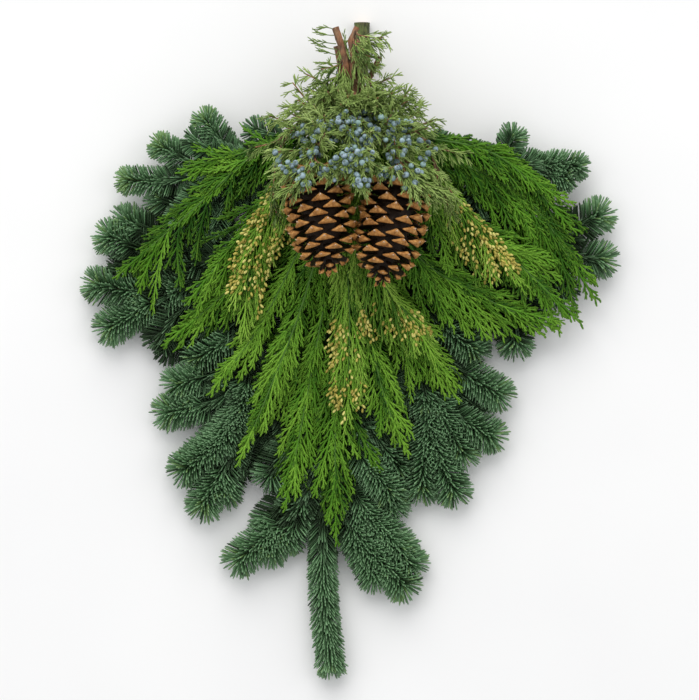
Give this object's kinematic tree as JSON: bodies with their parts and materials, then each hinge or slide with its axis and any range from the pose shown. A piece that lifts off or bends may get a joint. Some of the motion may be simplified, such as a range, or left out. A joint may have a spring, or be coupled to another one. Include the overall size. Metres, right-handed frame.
{
  "type": "christmas door swag",
  "caption": "Evergreen door swag of fir boughs, cedar fronds and berried juniper wired together at the stems with open pine cones, for hanging on a door.",
  "frame": {"origin": "middle of the swag's box, on the surface that its back lies on", "axes": "+Y along the swag to the cut stems at its top, +X to its right as it hangs and is looked at, +Z out of its face"},
  "size_m": [0.5764, 0.7046, 0.1525],
  "materials": {
    "fir": "waxy blue-green needles on brown twigs",
    "cedar": "satin scaly foliage, bright green",
    "pollen": "satin yellow-green foliage with golden pollen cones",
    "juniper": "matte grey-green foliage with powder-blue berries",
    "cone": "dry brown woody scales",
    "wire": "green enamelled florist's wire"
  },
  "bodies": {
    "root": {"fir_bough_centre": "fir", "fir_bough_left": "fir", "fir_bough_lower_left": "fir", "fir_bough_lower_right": "fir", "fir_bough_right": "fir", "fir_bough_upper_left": "fir", "fir_bough_upper_right": "fir", "cedar_frond_01": "cedar", "cedar_frond_02": "cedar", "cedar_frond_03": "cedar", "cedar_frond_04": "cedar", "cedar_frond_05": "cedar", "cedar_frond_06": "cedar", "cedar_frond_07": "cedar", "cedar_frond_08": "cedar", "cedar_frond_09": "cedar", "cedar_frond_10": "cedar", "cedar_frond_11": "cedar", "cedar_frond_12": "cedar", "cedar_frond_13": "cedar", "cedar_frond_14": "cedar", "pollen_frond_1": "pollen", "pollen_frond_2": "pollen", "pollen_frond_3": "pollen", "pollen_frond_4": "pollen", "juniper_branch_left": "juniper", "juniper_branch_right": "juniper", "juniper_branch_centre": "juniper", "juniper_branch_far_left": "juniper", "juniper_branch_far_right": "juniper", "pine_cone_left": "cone", "pine_cone_right": "cone", "wire_binding": "wire", "wire_of_pine_cone_left": "wire", "wire_of_pine_cone_right": "wire"}
  },
  "joints": []
}
